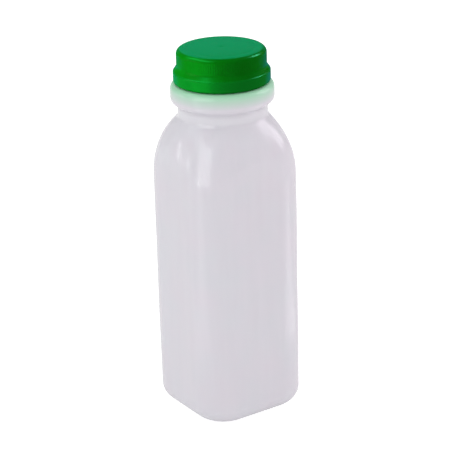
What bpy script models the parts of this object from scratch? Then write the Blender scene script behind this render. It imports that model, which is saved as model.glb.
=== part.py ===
"""Small square milk bottle with a round neck and a screw cap, in metres, +Z up.

The origin is at the centre of the base, on the surface that the bottle stands on. The bottle is one
closed solid, because a shut bottle of milky plastic can't be seen into, and the cap is a turned cup
over its neck.
"""

import math

import bpy
import numpy as np

MM = 0.001

# Body: a square with rounded upright corners, seen from above.
BODY_SIDE = 53.9 * MM
CORNER_RADIUS = 15.6 * MM
BASE_EDGE_RADIUS = 7.3 * MM
RIM_WIDTH = 2.6 * MM
PUSH_UP_DEPTH = 2.0 * MM
PUSH_UP_SLOPE = 3.0 * MM
PUSH_UP_CORNER_RADIUS = 7.0 * MM

# Shoulder: from the square body at SHOULDER_START to the round waist of the neck at SHOULDER_END.
SHOULDER_START = 110.6 * MM
SHOULDER_END = 138.2 * MM
WAIST_RADIUS = 19.7 * MM
WAIST_FILLET = 3.0 * MM

# Collar: the bead that stands out below the cap.
WAIST_TOP = 140.2 * MM
COLLAR_BOTTOM = 145.7 * MM
COLLAR_RADIUS = 22.7 * MM
COLLAR_FILLET = 3.0 * MM
COLLAR_EDGE = 2.8 * MM

# Cap: a wide band at its foot, a sloped step, and a narrower drum.
CAP_FOOT = 152.3 * MM
BAND_RADIUS = 21.2 * MM
BAND_HEIGHT = 5.3 * MM
BAND_EDGE = 0.8 * MM
STEP_HEIGHT = 1.8 * MM
DRUM_RADIUS = 19.6 * MM
DRUM_EDGE = 2.4 * MM
CAP_HEIGHT = 14.8 * MM
CAP_WALL = 1.3 * MM

# Clear space between the bottle and the cap.
GAP = 0.3 * MM

# How finely the curved surfaces are divided.
SIDES = 64
EDGE_STEPS = 4
SHOULDER_STEPS = 10

BOTTLE_COLOUR = (0.68, 0.67, 0.71, 1.0)
CAP_COLOUR = (0.004, 0.19, 0.016, 1.0)


def clear_scene():
    """Removes every object, so that the file holds only this model."""
    for item in list(bpy.data.objects):
        bpy.data.objects.remove(item, do_unlink=True)


def make_material(name, colour, roughness):
    """Makes a plain moulded plastic."""
    material = bpy.data.materials.new(name)
    material.use_nodes = True
    shader = material.node_tree.nodes["Principled BSDF"]
    shader.inputs["Base Color"].default_value = colour
    shader.inputs["Roughness"].default_value = roughness
    shader.inputs["Metallic"].default_value = 0.0
    return material


def square_reach(angles, half_side, corner_radius):
    """Gives the distance from the axis to a square with round corners, at each angle.

    An angle is folded into the eighth next to a side's middle. There the outline is the flat side,
    or past its end the corner's circle.
    """
    folded = np.abs((angles + math.pi / 4) % (math.pi / 2) - math.pi / 4)
    inner = half_side - corner_radius
    flat = half_side / np.cos(folded)
    across = inner * (np.cos(folded) - np.sin(folded))
    along = inner * (np.cos(folded) + np.sin(folded))
    rounded = along + np.sqrt(np.maximum(corner_radius**2 - across**2, 0.0))
    return np.where(half_side * np.tan(folded) <= inner, flat, rounded)


def tangent_arcs(height, low, high, low_reach, high_reach, high_fillet):
    """Gives the reach of a smooth S at one height: two arcs, upright at both ends.

    The lower arc starts upright at low and the upper one, of radius high_fillet, ends upright at
    high. The lower arc's radius follows from their meeting in one tangent.
    """
    rise = high - low
    change = np.abs(low_reach - high_reach)
    inward = np.sign(low_reach - high_reach)
    low_fillet = (change**2 + rise**2) / (2 * change) - high_fillet
    meeting = low + rise * low_fillet / (low_fillet + high_fillet)
    up = np.minimum(height - low, low_fillet)
    down = np.minimum(high - height, high_fillet)
    from_low = low_reach - inward * (low_fillet - np.sqrt(low_fillet**2 - up**2))
    from_high = high_reach + inward * (high_fillet - np.sqrt(high_fillet**2 - down**2))
    return np.where(height <= meeting, from_low, from_high)


def arc(centre, radius, start, end, steps):
    """Lists points along an arc, as (reach, height), with angles in degrees from the outward way."""
    turns = np.radians(np.linspace(start, end, steps + 1))
    return [(centre[0] + radius * math.cos(t), centre[1] + radius * math.sin(t)) for t in turns]


def bottle_rings():
    """Lists the bottle's sections from the middle of its base up to the top of its neck.

    Each is a height and an array with the reach at each of the angles.
    """
    angles = np.arange(SIDES) * 2 * math.pi / SIDES
    half_side = BODY_SIDE / 2
    rings = []

    def body_ring(height, inset):
        rings.append((height, square_reach(angles, half_side - inset, CORNER_RADIUS - inset)))

    def push_up_ring(height, inset):
        half = half_side - BASE_EDGE_RADIUS - RIM_WIDTH - inset
        rings.append((height, square_reach(angles, half, PUSH_UP_CORNER_RADIUS)))

    def round_ring(height, reach):
        rings.append((height, np.full(SIDES, reach)))

    push_up_ring(PUSH_UP_DEPTH, PUSH_UP_SLOPE)
    push_up_ring(PUSH_UP_DEPTH / 2, PUSH_UP_SLOPE / 2)
    push_up_ring(0.0, 0.0)
    for turn in np.linspace(0.0, math.pi / 2, EDGE_STEPS + 2):
        body_ring(BASE_EDGE_RADIUS * (1 - math.cos(turn)), BASE_EDGE_RADIUS * (1 - math.sin(turn)))
    body_ring(SHOULDER_START, 0.0)

    body_reach = square_reach(angles, half_side, CORNER_RADIUS)
    for share in np.linspace(0.0, 1.0, SHOULDER_STEPS + 1)[1:]:
        height = SHOULDER_START + (SHOULDER_END - SHOULDER_START) * math.sin(share * math.pi / 2)
        rings.append((height, tangent_arcs(height, SHOULDER_START, SHOULDER_END,
                                           body_reach, WAIST_RADIUS, WAIST_FILLET)))
    for height in np.linspace(WAIST_TOP, COLLAR_BOTTOM, EDGE_STEPS + 2):
        round_ring(height, float(tangent_arcs(height, WAIST_TOP, COLLAR_BOTTOM,
                                              WAIST_RADIUS, COLLAR_RADIUS, COLLAR_FILLET)))
    collar_top = CAP_FOOT - GAP
    for reach, height in arc((COLLAR_RADIUS - COLLAR_EDGE, collar_top - COLLAR_EDGE),
                             COLLAR_EDGE, 0, 90, EDGE_STEPS):
        round_ring(height, reach)
    neck_radius = DRUM_RADIUS - CAP_WALL - GAP
    round_ring(collar_top, neck_radius)
    round_ring(CAP_FOOT + CAP_HEIGHT - CAP_WALL - GAP, neck_radius)
    return angles, rings


def make_bottle(collection):
    """Lofts the bottle through its sections, which go from a square to a circle."""
    angles, rings = bottle_rings()
    points = [(reach * math.cos(angle), reach * math.sin(angle), height)
              for height, reaches in rings for reach, angle in zip(reaches, angles)]
    faces = []
    for low in range(0, (len(rings) - 1) * SIDES, SIDES):
        for side in range(SIDES):
            after = (side + 1) % SIDES
            faces.append((low + side, low + after, low + SIDES + after, low + SIDES + side))
    faces.append(tuple(reversed(range(SIDES))))
    top = (len(rings) - 1) * SIDES
    faces.append(tuple(range(top, top + SIDES)))

    mesh = bpy.data.meshes.new("bottle")
    mesh.from_pydata(points, [], faces)
    mesh.shade_smooth()
    mesh.set_sharp_from_angle(angle=math.radians(40))
    bottle = bpy.data.objects.new("bottle", mesh)
    bottle.data.materials.append(make_material("milky_plastic", BOTTLE_COLOUR, 0.4))
    collection.objects.link(bottle)
    return bottle


def cap_profile():
    """Lists the cap's outline from its top middle, down its outer side and back up the inner one."""
    top = CAP_FOOT + CAP_HEIGHT
    step_foot = CAP_FOOT + BAND_HEIGHT
    points = [(0.0, top)]
    points += arc((DRUM_RADIUS - DRUM_EDGE, top - DRUM_EDGE), DRUM_EDGE, 90, 0, EDGE_STEPS)
    points += [(DRUM_RADIUS, step_foot + STEP_HEIGHT)]
    points += arc((BAND_RADIUS - BAND_EDGE, step_foot - BAND_EDGE), BAND_EDGE, 60, 0, EDGE_STEPS // 2)
    points += arc((BAND_RADIUS - BAND_EDGE, CAP_FOOT + BAND_EDGE), BAND_EDGE, 0, -90, EDGE_STEPS)
    points += [(BAND_RADIUS - CAP_WALL, CAP_FOOT), (BAND_RADIUS - CAP_WALL, step_foot - CAP_WALL)]
    points += [(DRUM_RADIUS - CAP_WALL, step_foot), (DRUM_RADIUS - CAP_WALL, top - CAP_WALL)]
    points += [(0.0, top - CAP_WALL)]
    return points


def make_cap(collection):
    """Turns the cap's profile round the axis."""
    profile = cap_profile()
    mesh = bpy.data.meshes.new("cap")
    mesh.from_pydata([(reach, 0.0, height) for reach, height in profile],
                     [(at, at + 1) for at in range(len(profile) - 1)], [])
    cap = bpy.data.objects.new("cap", mesh)
    cap.data.materials.append(make_material("green_plastic", CAP_COLOUR, 0.35))
    collection.objects.link(cap)
    turn = cap.modifiers.new("turn", "SCREW")
    turn.axis = "Z"
    turn.steps = SIDES
    turn.render_steps = SIDES
    turn.use_merge_vertices = True
    turn.merge_threshold = 0.00001
    return cap


def main():
    clear_scene()
    collection = bpy.data.collections.new("milk_bottle")
    bpy.context.scene.collection.children.link(collection)
    make_bottle(collection)
    make_cap(collection)


main()
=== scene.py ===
import math

import bpy
import numpy as np
from mathutils import Matrix, Vector


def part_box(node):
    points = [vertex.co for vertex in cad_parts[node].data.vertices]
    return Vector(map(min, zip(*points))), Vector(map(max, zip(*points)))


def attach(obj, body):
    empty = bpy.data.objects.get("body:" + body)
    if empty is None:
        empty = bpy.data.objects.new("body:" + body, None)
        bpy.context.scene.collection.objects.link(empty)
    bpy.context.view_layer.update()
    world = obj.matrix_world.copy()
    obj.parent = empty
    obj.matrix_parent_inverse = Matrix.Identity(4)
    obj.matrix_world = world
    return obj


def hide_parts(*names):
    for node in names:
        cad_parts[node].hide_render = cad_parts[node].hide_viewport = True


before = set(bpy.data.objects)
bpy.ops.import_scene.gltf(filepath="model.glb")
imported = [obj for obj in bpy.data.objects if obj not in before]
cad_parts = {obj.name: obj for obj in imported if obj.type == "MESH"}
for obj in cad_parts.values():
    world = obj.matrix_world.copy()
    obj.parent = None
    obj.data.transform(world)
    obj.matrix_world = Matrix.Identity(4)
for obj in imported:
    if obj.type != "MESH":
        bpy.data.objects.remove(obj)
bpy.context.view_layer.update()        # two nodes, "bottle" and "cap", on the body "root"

MM = 0.001

# Body, from the frame's outer size: a square with rounded upright corners.
HALF_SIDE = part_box("bottle")[1][0]
CORNER_RADIUS = 15.6 * MM
BASE_EDGE_RADIUS = 7.3 * MM
RIM_WIDTH = 2.6 * MM
PUSH_UP_DEPTH = 2.0 * MM
PUSH_UP_SLOPE = 3.0 * MM
PUSH_UP_CORNER_RADIUS = 7.0 * MM
DISH_RISE = 0.4 * MM
BOTTLE_STEPS = 216

# Shoulder, waist and collar.
SHOULDER_START = 110.6 * MM
SHOULDER_END = 138.2 * MM
WAIST_RADIUS = 19.7 * MM
WAIST_FILLET = 3.0 * MM
WAIST_TOP = 140.2 * MM
COLLAR_BOTTOM = 145.7 * MM
COLLAR_RADIUS = 22.7 * MM
COLLAR_FILLET = 3.0 * MM
COLLAR_EDGE = 2.8 * MM

# Cap, from the frame: foot, top and band.
CAP_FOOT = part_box("cap")[0][2]
CAP_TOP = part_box("cap")[1][2]
BAND_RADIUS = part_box("cap")[1][0]
BAND_HEIGHT = 5.3 * MM
BAND_EDGE = 0.8 * MM
STEP_HEIGHT = 1.8 * MM
DRUM_RADIUS = 19.6 * MM
DRUM_EDGE = 2.4 * MM
CAP_WALL = 1.3 * MM
GAP = 0.3 * MM
NECK_RADIUS = DRUM_RADIUS - CAP_WALL - GAP
NECK_FOOT_RADIUS = 0.6 * MM

# Fine relief. A fade is the pair of heights between which a form comes in or goes out.
PINCH_DEPTH = 0.35 * MM
PINCH_WIDTH = 0.4 * MM
SEAM_ANGLES = (-math.pi / 4, 3 * math.pi / 4)
SEAM_HEIGHT = 0.10 * MM
SEAM_WIDTH = 0.22 * MM
SEAM_FADE_IN = (3 * MM, 8 * MM)
SEAM_FADE_OUT = (CAP_FOOT - 3 * MM, CAP_FOOT - GAP)
PANEL_SINK = 0.22 * MM
FULLNESS = 0.15 * MM
WANDER = 0.035 * MM
SIDE_FADE_IN = (9 * MM, 34 * MM)
SIDE_FADE_OUT = (88 * MM, 124 * MM)
CROWN_HEIGHT = 0.8 * MM
CROWN_HALF_WIDTH = 14.0 * MM
CROWN_FADE_IN = (SHOULDER_START, SHOULDER_START + 12 * MM)
CROWN_FADE_OUT = (128 * MM, SHOULDER_END)
RIB_COUNT = 120
RIB_HEIGHT = 0.06 * MM
RIB_SUNK_SHARE = 0.6
TOP_SAG = 0.2 * MM
TOP_RING_RADIUS = 14.6 * MM
TOP_RING_WIDTH = 0.35 * MM
TOP_RING_DEPTH = 0.12 * MM
GATE_WIDTH = 1.1 * MM
GATE_DEPTH = 0.25 * MM

# Floor and lights.
FLOOR_HALF = 3.0
LIGHT_AIM = Vector((0, 0, 125 * MM))
CARD_NEAR = 95 * MM
CARD_FAR = 340 * MM
CARD_HEIGHT = 2 * MM
WHITE = (1.0, 1.0, 1.0)


def clamp01(values):
    return np.clip(values, 0.0, 1.0)


def ease(values, low, high):
    """Goes from 0 at low to 1 at high, level at both ends: the cubic 3t^2 - 2t^3."""
    share = clamp01((values - low) / (high - low))
    return share * share * (3 - 2 * share)


def arc(reach, height, radius, start, end, steps):
    """Points (reach, height) round a centre, from start to end in degrees, 0 pointing outwards."""
    turn = np.radians(np.linspace(start, end, steps))
    return np.column_stack((reach + radius * np.cos(turn), height + radius * np.sin(turn)))


def line(start, end, steps):
    """Points (reach, height) on a straight stretch, without its two ends."""
    share = np.linspace(0, 1, steps + 2)[1:-1, None]
    return np.array(start) * (1 - share) + np.array(end) * share


def square_reach(angles, half_side, corner_radius):
    """Distance from the axis to a square with round corners.

    Angles are folded into the eighth beside a side's middle: half_side / cos on the flat, and past
    its end the far crossing of the ray with the corner's circle.
    """
    folded = np.abs((angles + math.pi / 4) % (math.pi / 2) - math.pi / 4)
    inner = half_side - corner_radius
    flat = half_side / np.cos(folded)
    across = inner * (np.cos(folded) - np.sin(folded))
    along = inner * (np.cos(folded) + np.sin(folded))
    rounded = along + np.sqrt(np.maximum(corner_radius**2 - across**2, 0.0))
    return np.where(half_side * np.tan(folded) <= inner, flat, rounded)


def tangent_arcs(height, low, high, low_reach, high_reach, high_fillet):
    """Reach of a smooth S made of two tangent arcs, upright at low and at high.

    The upper arc has the radius high_fillet, and the lower one's follows from the tangent meeting:
    (change^2 + rise^2) / (2 change) - high_fillet.
    """
    rise = high - low
    change = np.abs(low_reach - high_reach)
    inward = np.sign(low_reach - high_reach)
    low_fillet = (change**2 + rise**2) / (2 * change) - high_fillet
    meeting = low + rise * low_fillet / (low_fillet + high_fillet)
    up = np.minimum(height - low, low_fillet)
    down = np.minimum(high - height, high_fillet)
    from_low = low_reach - inward * (low_fillet - np.sqrt(low_fillet**2 - up**2))
    from_high = high_reach + inward * (high_fillet - np.sqrt(high_fillet**2 - down**2))
    return np.where(height <= meeting, from_low, from_high)


def skin(name, first_pole, rings, last_pole):
    """One closed skin: a grid of rings (ring, angle, xyz) with a fan from a pole at each end."""
    count, around = rings.shape[:2]
    points = np.concatenate(([first_pole], rings.reshape(-1, 3), [last_pole]))
    here = 1 + np.arange(count)[:, None] * around + np.arange(around)
    after = np.roll(here, -1, axis=1)
    quads = np.stack((here[:-1], after[:-1], after[1:], here[1:]), axis=-1).reshape(-1, 4)
    first_fan = np.column_stack((np.zeros(around, int), after[0], here[0]))
    last_fan = np.column_stack((here[-1], after[-1], np.full(around, len(points) - 1)))
    mesh = bpy.data.meshes.new(name)
    mesh.from_pydata(points, [], quads.tolist() + first_fan.tolist() + last_fan.tolist())
    mesh.shade_smooth()
    piece = bpy.data.objects.new(name, mesh)
    bpy.context.scene.collection.objects.link(piece)
    return piece


def around_axis(angles, reaches, heights):
    """Turns reaches and heights (ring, angle) into points."""
    angles, reaches, heights = np.broadcast_arrays(angles, reaches, heights)
    return np.stack((reaches * np.cos(angles), reaches * np.sin(angles), heights), axis=-1)


def bottle_angles():
    """Angles round the bottle: even steps, with close ones beside each seam."""
    even = np.arange(BOTTLE_STEPS) * 2 * math.pi / BOTTLE_STEPS
    close = np.radians([-0.9, -0.6, -0.45, -0.3, -0.15, 0.15, 0.3, 0.45, 0.6, 0.9])
    near_seams = np.concatenate([(seam + close) % (2 * math.pi) for seam in SEAM_ANGLES])
    return np.sort(np.concatenate((even, near_seams)))


def base_rings(angles):
    """The base: a shallow dish, its slope, the flat rim, and the quarter arc up to the side.

    The dish rises to its middle by 1 - share^2, and the pinch line is a ridge under it whose
    section is a bell curve.
    """
    dish_half = HALF_SIDE - BASE_EDGE_RADIUS - RIM_WIDTH - PUSH_UP_SLOPE
    share = np.linspace(0.04, 1, 16)[:, None]
    dish_reach = share * square_reach(angles, dish_half, PUSH_UP_CORNER_RADIUS)
    dish_height = PUSH_UP_DEPTH + DISH_RISE * (1 - share**2) + 0 * angles
    slope = np.linspace(0, 1, 14)[1:, None]
    slope_reach = square_reach(angles, dish_half + slope * PUSH_UP_SLOPE, PUSH_UP_CORNER_RADIUS)
    slope_height = PUSH_UP_DEPTH * (1 - ease(slope, 0, 1)) + 0 * angles
    turn = np.linspace(0, math.pi / 2, 16)[:, None]
    inset = BASE_EDGE_RADIUS * (1 - np.sin(turn))
    edge_reach = square_reach(angles, HALF_SIDE - inset, CORNER_RADIUS - inset)
    edge_height = BASE_EDGE_RADIUS * (1 - np.cos(turn)) + 0 * angles
    across_seam = np.abs(dish_reach * np.sin(angles - SEAM_ANGLES[0]))
    dish_height = dish_height - PINCH_DEPTH * np.exp(-((across_seam / PINCH_WIDTH) ** 2))
    return (np.concatenate((dish_reach, slope_reach, edge_reach)),
            np.concatenate((dish_height, slope_height, edge_height)))


def side_rings(angles):
    """The upright sides and the shoulder up to the waist.

    The reach is the rounded square's, which tangent arcs draw in to the waist's circle. The flats
    sink by a cosine across each face. All round, the sides are slightly full at mid height and
    wander by a sum of three slow sines. The shoulder swells by a cosine across each face.
    """
    body_reach = square_reach(angles, HALF_SIDE, CORNER_RADIUS)
    upright = np.linspace(BASE_EDGE_RADIUS, SHOULDER_START, 46)[1:, None]
    share = np.linspace(0, 1, 44)[1:, None]
    shoulder = SHOULDER_START + (SHOULDER_END - SHOULDER_START) * np.sin(share * math.pi / 2)
    heights = np.concatenate((upright, shoulder))
    reaches = tangent_arcs(np.maximum(heights, SHOULDER_START), SHOULDER_START, SHOULDER_END,
                           body_reach, WAIST_RADIUS, WAIST_FILLET)
    window = ease(heights, *SIDE_FADE_IN) * (1 - ease(heights, *SIDE_FADE_OUT))
    face = np.cos(2 * angles) ** 4
    wander = (np.sin(heights / (13 * MM) + 2 * angles + 0.7)
              + np.sin(heights / (21 * MM) - 3 * angles)
              + np.sin(heights / (9 * MM) + 5 * angles + 2.1))
    reaches = reaches + window * (FULLNESS - PANEL_SINK * face + WANDER * wander)
    folded = (angles + math.pi / 4) % (math.pi / 2) - math.pi / 4
    across = np.clip(body_reach * np.sin(folded) / CROWN_HALF_WIDTH, -1, 1)
    crown = ease(heights, *CROWN_FADE_IN) * (1 - ease(heights, *CROWN_FADE_OUT))
    reaches = reaches + CROWN_HEIGHT * crown * (0.5 + 0.5 * np.cos(math.pi * across))
    return reaches, heights + 0 * angles


def neck_rings(angles):
    """The waist, the collar, and the plain neck inside the cap."""
    flare = np.linspace(WAIST_TOP, COLLAR_BOTTOM, 26)
    collar_top = CAP_FOOT - GAP
    profile = np.concatenate((
        np.column_stack((tangent_arcs(flare, WAIST_TOP, COLLAR_BOTTOM, WAIST_RADIUS,
                                      COLLAR_RADIUS, COLLAR_FILLET), flare)),
        line((COLLAR_RADIUS, COLLAR_BOTTOM), (COLLAR_RADIUS, collar_top - COLLAR_EDGE), 3),
        arc(COLLAR_RADIUS - COLLAR_EDGE, collar_top - COLLAR_EDGE, COLLAR_EDGE, 0, 90, 14),
        [(NECK_RADIUS + NECK_FOOT_RADIUS, collar_top)],
        arc(NECK_RADIUS + NECK_FOOT_RADIUS, collar_top + NECK_FOOT_RADIUS, NECK_FOOT_RADIUS,
            -100, -180, 5),
        line((NECK_RADIUS, collar_top + NECK_FOOT_RADIUS),
             (NECK_RADIUS, CAP_TOP - CAP_WALL - 1.0 * MM), 6),
    ))
    return profile[:, :1] + 0 * angles, profile[:, 1:] + 0 * angles


def add_seams(angles, reaches, heights):
    """Raises the fine parting line: a bell curve across each seam, from base edge to collar."""
    window = ease(heights, *SEAM_FADE_IN) * (1 - ease(heights, *SEAM_FADE_OUT))
    for seam in SEAM_ANGLES:
        turned = (angles - seam + math.pi) % (2 * math.pi) - math.pi
        across = reaches * np.sin(turned) / SEAM_WIDTH
        bell = np.where(np.abs(turned) < 0.5, np.exp(-(across**2)), 0.0)
        reaches = reaches + SEAM_HEIGHT * window * bell
    return reaches


def make_bottle():
    """The bottle's outer skin, from the middle of its base to the middle of its neck's top."""
    angles = bottle_angles()
    stretches = [base_rings(angles), side_rings(angles), neck_rings(angles)]
    reaches = np.concatenate([reach for reach, _ in stretches])
    heights = np.concatenate([height for _, height in stretches])
    outer = around_axis(angles, add_seams(angles, reaches, heights), heights)
    rim_height = CAP_TOP - CAP_WALL - GAP
    rim = around_axis(angles, np.array([[NECK_RADIUS - 0.2 * MM]]), np.array([[rim_height]]))
    rings = np.concatenate((outer, rim))
    base_middle = (0, 0, PUSH_UP_DEPTH + DISH_RISE - PINCH_DEPTH)
    return skin("bottle_wall", base_middle, rings, (0, 0, rim_height))


def cap_profile():
    """The cap's section as (reach, height), from its inner middle down, round the foot and up."""
    step_foot = CAP_FOOT + BAND_HEIGHT
    drum_foot = step_foot + STEP_HEIGHT
    inside = [(DRUM_RADIUS - CAP_WALL, CAP_TOP - CAP_WALL), (DRUM_RADIUS - CAP_WALL, step_foot),
              (BAND_RADIUS - CAP_WALL, step_foot - CAP_WALL), (BAND_RADIUS - CAP_WALL, CAP_FOOT)]
    return np.concatenate((
        line((0, CAP_TOP - CAP_WALL), inside[0], 4), inside,
        arc(BAND_RADIUS - BAND_EDGE, CAP_FOOT + BAND_EDGE, BAND_EDGE, -90, 0, 8),
        line((BAND_RADIUS, CAP_FOOT + BAND_EDGE), (BAND_RADIUS, step_foot - BAND_EDGE), 5),
        arc(BAND_RADIUS - BAND_EDGE, step_foot - BAND_EDGE, BAND_EDGE, 0, 60, 7),
        line((BAND_RADIUS - 0.5 * BAND_EDGE, step_foot - 0.13 * BAND_EDGE),
             (DRUM_RADIUS, drum_foot), 8),
        line((DRUM_RADIUS, drum_foot), (DRUM_RADIUS, CAP_TOP - DRUM_EDGE), 12),
        arc(DRUM_RADIUS - DRUM_EDGE, CAP_TOP - DRUM_EDGE, DRUM_EDGE, 0, 90, 14),
        line((DRUM_RADIUS - DRUM_EDGE, CAP_TOP), (0, CAP_TOP), 26),
    ))


def make_cap():
    """The turned cap: its section carried round, with upright grip ribs on the drum.

    A rib is a raised cosine round the axis, faded out above the step and below the top's rounding.
    The top falls by the square of the reach towards its rim, and carries a fine ring and a small
    gate mark, both sunk by a bell curve of the reach.
    """
    angles = np.arange(RIB_COUNT * 8) * 2 * math.pi / (RIB_COUNT * 8)
    profile = cap_profile()
    reach, height = profile[:, :1], profile[:, 1:]
    foot_points = 13        # the inner side and the lower part of the foot's rounding
    outside = (np.arange(len(profile)) >= foot_points)[:, None]
    drum_foot = CAP_FOOT + BAND_HEIGHT + STEP_HEIGHT
    window = outside * ease(height, drum_foot + 0.2 * MM, drum_foot + 0.9 * MM)
    window = window * (1 - ease(height, CAP_TOP - DRUM_EDGE, CAP_TOP - 0.5 * DRUM_EDGE))
    ribs = (0.5 + 0.5 * np.cos(RIB_COUNT * angles)) ** 2
    reaches = reach + RIB_HEIGHT * window * (ribs - RIB_SUNK_SHARE)
    on_top = outside * (height > CAP_TOP - 0.01 * MM)
    ring = np.exp(-(((reach - TOP_RING_RADIUS) / TOP_RING_WIDTH) ** 2))
    gate = np.exp(-((reach / GATE_WIDTH) ** 2))
    sag = TOP_SAG * clamp01(reach / (DRUM_RADIUS - DRUM_EDGE))**2 * outside
    sag = sag * ease(height, CAP_TOP - DRUM_EDGE, CAP_TOP)
    heights = height - sag - on_top * (TOP_RING_DEPTH * ring + GATE_DEPTH * gate) + 0 * angles
    rings = around_axis(angles, reaches, heights)
    return skin("cap_moulding", (0, 0, CAP_TOP - CAP_WALL), rings, (0, 0, CAP_TOP - GATE_DEPTH))


class Nodes:
    """A short hand for building one material's node tree."""

    def __init__(self, name):
        self.material = bpy.data.materials.new(name)
        self.material.use_nodes = True
        self.tree = self.material.node_tree
        self.shader = self.tree.nodes["Principled BSDF"]
        self.place = self.add("ShaderNodeTexCoord").outputs["Object"]

    def add(self, kind, **inputs):
        """Adds a node and sets its inputs, by value or by a link from another node's output."""
        node = self.tree.nodes.new(kind)
        for name, value in inputs.items():
            self.put(node.inputs[name.replace("_", " ")], value)
        return node

    def put(self, socket, value):
        if isinstance(value, bpy.types.NodeSocket):
            self.tree.links.new(value, socket)
        else:
            socket.default_value = value

    def set(self, **inputs):
        for name, value in inputs.items():
            self.put(self.shader.inputs[name.replace("_", " ")], value)

    def noise(self, size, detail=3.0, stretch=(1, 1, 1)):
        """A noise whose lumps are about size across, drawn out along an axis by stretch."""
        scaled = self.add("ShaderNodeMapping", Vector=self.place,
                          Scale=tuple(1 / (size * factor) for factor in stretch))
        noise = self.add("ShaderNodeTexNoise", Vector=scaled.outputs["Vector"], Scale=1.0,
                         Detail=detail)
        return noise.outputs["Fac"]

    def spread(self, value, low, high, from_low=0.3, from_high=0.7):
        """Maps a value's range onto another."""
        node = self.add("ShaderNodeMapRange", Value=value, From_Min=from_low, From_Max=from_high,
                        To_Min=low, To_Max=high)
        return node.outputs["Result"]

    def mix(self, share, first, second):
        node = self.tree.nodes.new("ShaderNodeMix")
        node.data_type = "RGBA"
        colour = {s.identifier: s for s in node.inputs}
        self.put(colour["Factor_Float"], share)
        self.put(colour["A_Color"], first)
        self.put(colour["B_Color"], second)
        return next(s for s in node.outputs if s.identifier == "Result_Color")

    def height(self):
        """The height above the base."""
        return self.add("ShaderNodeSeparateXYZ", Vector=self.place).outputs["Z"]

    def bump(self, value, strength, depth, under=None):
        node = self.add("ShaderNodeBump", Height=value, Strength=strength, Distance=depth)
        if under is not None:
            self.put(node.inputs["Normal"], under)
        return node.outputs["Normal"]


def milky_plastic():
    """Natural blow-moulded plastic: milky, faintly lavender and cloudy, with a fine mould grain.

    A paler band round the waist is painted light that lifts the shade in its crease, and the collar
    below the cap has a painted green glow, standing in for the cap's colour bounced into it.
    """
    cool, warm = (0.692, 0.684, 0.729, 1), (0.713, 0.675, 0.729, 1)
    pale_streak = (0.75, 0.732, 0.78, 1)
    # painted light: the paler colour that lifts the shade in the waist crease
    painted_waist_light = (0.80, 0.79, 0.83, 1)
    # painted light: the cap's green glow bounced into the collar
    painted_cap_glow = (0.31, 0.69, 0.43, 1)
    n = Nodes("milky_plastic")
    cloud = n.spread(n.noise(0.016, detail=2), 0.0, 1.0)
    streak = n.spread(n.noise(0.004, stretch=(1, 1, 9)), 0.0, 1.0)
    colour = n.mix(cloud, cool, warm)
    colour = n.mix(n.spread(streak, 0.0, 0.25, 0, 1), colour, pale_streak)
    # Painted light: a paler band between the shoulder's end and the collar's flare, lifting the
    # crease's shade.
    below_flare = n.spread(n.height(), 0.5, 0.0, WAIST_TOP + 0.2 * MM, WAIST_TOP + 2.2 * MM)
    waist_light_share = n.spread(n.height(), 0.0, below_flare, SHOULDER_END - 3.0 * MM, SHOULDER_END + 1.0 * MM)
    colour = n.mix(waist_light_share, colour, painted_waist_light)
    # Painted green glow on the collar's top 7 mm below the cap, standing in for light bounced from
    # the cap.
    cap_glow_share = n.spread(n.height(), 0.0, 0.86, CAP_FOOT - 7.0 * MM, CAP_FOOT - 0.8 * MM)
    colour = n.mix(cap_glow_share, colour, painted_cap_glow)
    grain = n.noise(0.0009, detail=4)
    peel = n.noise(0.0065, detail=2)
    normal = n.bump(peel, 0.2, 0.00015, n.bump(grain, 0.12, 0.00003))
    n.set(Base_Color=colour, Roughness=n.spread(n.noise(0.009), 0.17, 0.22), Normal=normal)
    n.set(IOR=1.5, Specular_IOR_Level=0.5, Subsurface_Weight=0.7, Subsurface_Scale=0.004,
          Subsurface_Radius=(1.0, 0.95, 1.0))
    return n.material


def green_plastic():
    """Injection-moulded green plastic with a soft gloss, with painted light on its foot band, a
    lighter bluer green, and on its top, a brighter bluer green that is painted light and painted
    reflection.
    """
    deep, fresh = (0.0003, 0.101, 0.0014, 1), (0.0005, 0.113, 0.0030, 1)
    # painted light: the foot band's lighter, bluer green
    painted_band_light = (0.0007, 0.122, 0.0075, 1)
    # painted light and painted reflection: the flat top's brighter, bluer green
    painted_top_light = (0.0006, 0.172, 0.044, 1)
    n = Nodes("green_plastic")
    cloud = n.spread(n.noise(0.006, detail=3), 0.0, 1.0)
    side = n.mix(cloud, deep, fresh)
    # Painted light on the foot band: a lighter, bluer green below the step.
    band_top = CAP_FOOT + BAND_HEIGHT
    band_light_share = n.spread(n.height(), 1.0, 0.0, band_top - 0.4 * MM, band_top + 0.2 * MM)
    side = n.mix(band_light_share, side, painted_band_light)
    # Painted light and painted reflection on the flat top: a brighter, bluer green that ends at its
    # rim.
    top_rim = CAP_TOP - TOP_SAG
    on_top = n.spread(n.height(), 0.0, 1.0, top_rim - 0.28 * MM, top_rim - 0.05 * MM)
    colour = n.mix(on_top, side, painted_top_light)
    grain = n.noise(0.0006, detail=4)
    normal = n.bump(grain, 0.15, 0.00004)
    n.set(Base_Color=colour, Roughness=n.spread(n.noise(0.005), 0.30, 0.40), Normal=normal)
    n.set(Specular_IOR_Level=0.0, Coat_Weight=0.045, Coat_Roughness=0.24)
    return n.material


def floor_material():
    """A plain white surface, a little overexposed where the camera sees it."""
    n = Nodes("white_floor")
    seen = n.add("ShaderNodeLightPath").outputs["Is Camera Ray"]
    n.set(Base_Color=(0.6, 0.6, 0.6, 1), Roughness=0.9, Specular_IOR_Level=0.0,
          Emission_Color=(1, 1, 1, 1), Emission_Strength=n.spread(seen, 0.28, 0.75, 0, 1))
    return n.material


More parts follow.
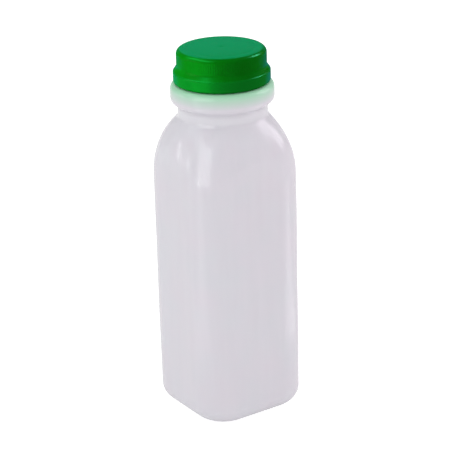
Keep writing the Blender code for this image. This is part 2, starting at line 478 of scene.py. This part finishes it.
def make_floor():
    """A wide level floor under the bottle."""
    mesh = bpy.data.meshes.new("floor")
    corners = [(x * FLOOR_HALF, y * FLOOR_HALF, 0) for x, y in ((-1, -1), (1, -1), (1, 1), (-1, 1))]
    mesh.from_pydata(corners, [], [(0, 1, 2, 3)])
    floor = bpy.data.objects.new("floor", mesh)
    floor.data.materials.append(floor_material())
    bpy.context.scene.collection.objects.link(floor)


def towards(azimuth, elevation):
    """The unit vector from the origin towards a place at these angles, in degrees."""
    a, e = math.radians(azimuth), math.radians(elevation)
    return Vector((math.sin(a) * math.cos(e), -math.cos(a) * math.cos(e), math.sin(e)))


def make_camera():
    """Places the camera at the photograph's angle and height, with its slight roll."""
    azimuth, elevation, distance, roll = -33.56, 22.41, 0.8231, math.radians(-1.6)
    centre = Vector((0, 0, 70 * MM))
    target = Vector((0.2 * MM, 0, 84.0 * MM))
    spot = centre + towards(azimuth, elevation) * distance
    forward = (target - spot).normalized()
    level = forward.cross(Vector((0, 0, 1))).normalized()
    upright = level.cross(forward)
    right = level * math.cos(roll) + upright * math.sin(roll)
    up = upright * math.cos(roll) - level * math.sin(roll)
    data = bpy.data.cameras.new("camera")
    data.sensor_width = 36.0
    data.lens = 145.7
    camera = bpy.data.objects.new("camera", data)
    turned = Matrix((right, up, -forward)).transposed().to_4x4()
    camera.matrix_world = Matrix.Translation(spot) @ turned
    bpy.context.scene.collection.objects.link(camera)
    bpy.context.scene.camera = camera


def area_light(name, size, radiance, lit):
    """A glowing rectangle that the camera doesn't see and that lights one collection's pieces.

    Its power is pi * area * radiance.
    """
    data = bpy.data.lights.new(name, "AREA")
    data.shape = "RECTANGLE"
    data.size, data.size_y = size
    data.energy = math.pi * size[0] * size[1] * radiance
    light = bpy.data.objects.new(name, data)
    light.visible_camera = False
    light.light_linking.receiver_collection = lit
    bpy.context.scene.collection.objects.link(light)
    return light


def make_light(name, direction, distance, size, radiance, colour, lit):
    """A soft box that faces the bottle's shoulder, from an azimuth and elevation in degrees."""
    light = area_light(name, size, radiance, lit)
    light.data.color = colour
    spot = LIGHT_AIM + towards(*direction) * distance
    turned = (spot - LIGHT_AIM).to_track_quat("Z", "Y").to_matrix().to_4x4()
    light.matrix_world = Matrix.Translation(spot) @ turned
    return light


def make_card(name, azimuth, width, radiance, lit):
    """A glowing strip just above the floor, running out from the bottle, that shows only as gloss."""
    card = area_light(name, (width, CARD_FAR - CARD_NEAR), radiance, lit)
    card.visible_diffuse = False
    place = towards(azimuth, 0) * (CARD_NEAR + CARD_FAR) / 2 + Vector((0, 0, CARD_HEIGHT))
    facing_up = Matrix.Rotation(math.radians(azimuth), 4, "Z") @ Matrix.Rotation(math.pi, 4, "X")
    card.matrix_world = Matrix.Translation(place) @ facing_up


def make_world():
    """A white studio: bright all round, and darker in reflections so that the edges stay drawn."""
    world = bpy.data.worlds.new("studio")
    world.use_nodes = True
    tree = world.node_tree
    background = tree.nodes["Background"]
    path = tree.nodes.new("ShaderNodeLightPath")
    strength = tree.nodes.new("ShaderNodeMapRange")
    strength.inputs["To Min"].default_value = 1.0
    strength.inputs["To Max"].default_value = 0.4
    tree.links.new(path.outputs["Is Glossy Ray"], strength.inputs["Value"])
    tree.links.new(strength.outputs["Result"], background.inputs["Strength"])
    background.inputs["Color"].default_value = (1, 1, 1, 1)
    bpy.context.scene.world = world


def dress(piece, node, material):
    """Gives a piece its material, hides the node's own part, and hangs the piece on the body root."""
    piece.data.materials.append(material)
    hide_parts(node)
    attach(piece, "root")


def lit_group(name, pieces):
    """A collection that says which pieces a light falls on."""
    group = bpy.data.collections.new(name)
    for piece in pieces:
        group.objects.link(piece)
    return group


def make_lights(wall, cap):
    """Soft boxes for the wall and for the cap: some are seen only as gloss, others only shade."""
    on_wall = lit_group("lit_wall", [wall])
    on_cap = lit_group("lit_cap", [cap])
    for name, direction, distance, size, radiance, colour, lit in (
            ("left_gloss", (-77, 18), 0.5, (0.38, 0.50), 2.3, WHITE, on_wall),
            ("low_gloss", (-92, -8), 0.5, (0.10, 0.10), 2.6, WHITE, on_wall),
            ("wide_gloss", (-118, 40), 0.5, (0.26, 0.26), 0.7, (0.85, 1.0, 1.0), on_wall),
            ("right_gloss", (74, 26), 0.5, (0.26, 0.32), 2.6, (1.0, 0.93, 1.0), on_wall),
            ("back_gloss", (-131, 5), 0.5, (0.035, 0.15), 5.0, WHITE, on_wall),
            ("rim_left_gloss", (-116, 58), 0.5, (0.55, 0.20), 80.0, (0.03, 1.0, 0.22), on_cap),
            ("rim_right_gloss", (87, 42), 0.5, (0.16, 0.14), 170.0, (0.13, 1.0, 0.60), on_cap),
            ("side_gloss", (-84, -14), 0.3, (0.26, 0.20), 20.0, (0.02, 1.0, 0.1), on_cap),
            ("top_gloss", (147, 25), 0.154, (0.20, 0.065), 3.5, (0.05, 0.40, 1.0), on_cap),
            ("edge_right_gloss", (115, -14), 0.3, (0.26, 0.18), 8.0, (0.0, 0.15, 1.0), on_cap),
            ("edge_left_gloss", (178, -14), 0.3, (0.26, 0.18), 6.0, (0.0, 0.15, 1.0), on_cap)):
        make_light(name, direction, distance, size, radiance, colour, lit).visible_diffuse = False
    make_card("right_card", 57, 80 * MM, 1.0, on_wall)
    make_card("left_card", -88, 90 * MM, 0.6, on_wall)
    for name, direction, distance, size, radiance, colour, lit in (
            ("wall_left", (-92, 8), 0.5, (0.28, 0.28), 0.5, (0.92, 1.0, 1.0), on_wall),
            ("wall_right", (62, 15), 0.5, (0.30, 0.30), 0.35, (1.0, 0.3, 0.8), on_wall),
            ("cap_left", (-110, 15), 0.5, (0.28, 0.28), 17.5, WHITE, on_cap),
            ("cap_back", (150, 16), 0.5, (0.28, 0.20), 10.0, WHITE, on_cap),
            ("cap_right", (92, 20), 0.5, (0.22, 0.22), 8.8, WHITE, on_cap)):
        make_light(name, direction, distance, size, radiance, colour, lit).visible_glossy = False


make_camera()
make_world()
make_floor()
bottle_wall = make_bottle()
cap_moulding = make_cap()
dress(bottle_wall, "bottle", milky_plastic())
dress(cap_moulding, "cap", green_plastic())
make_lights(bottle_wall, cap_moulding)

view = bpy.context.scene.view_settings
view.view_transform = "Standard"
view.look = "None"
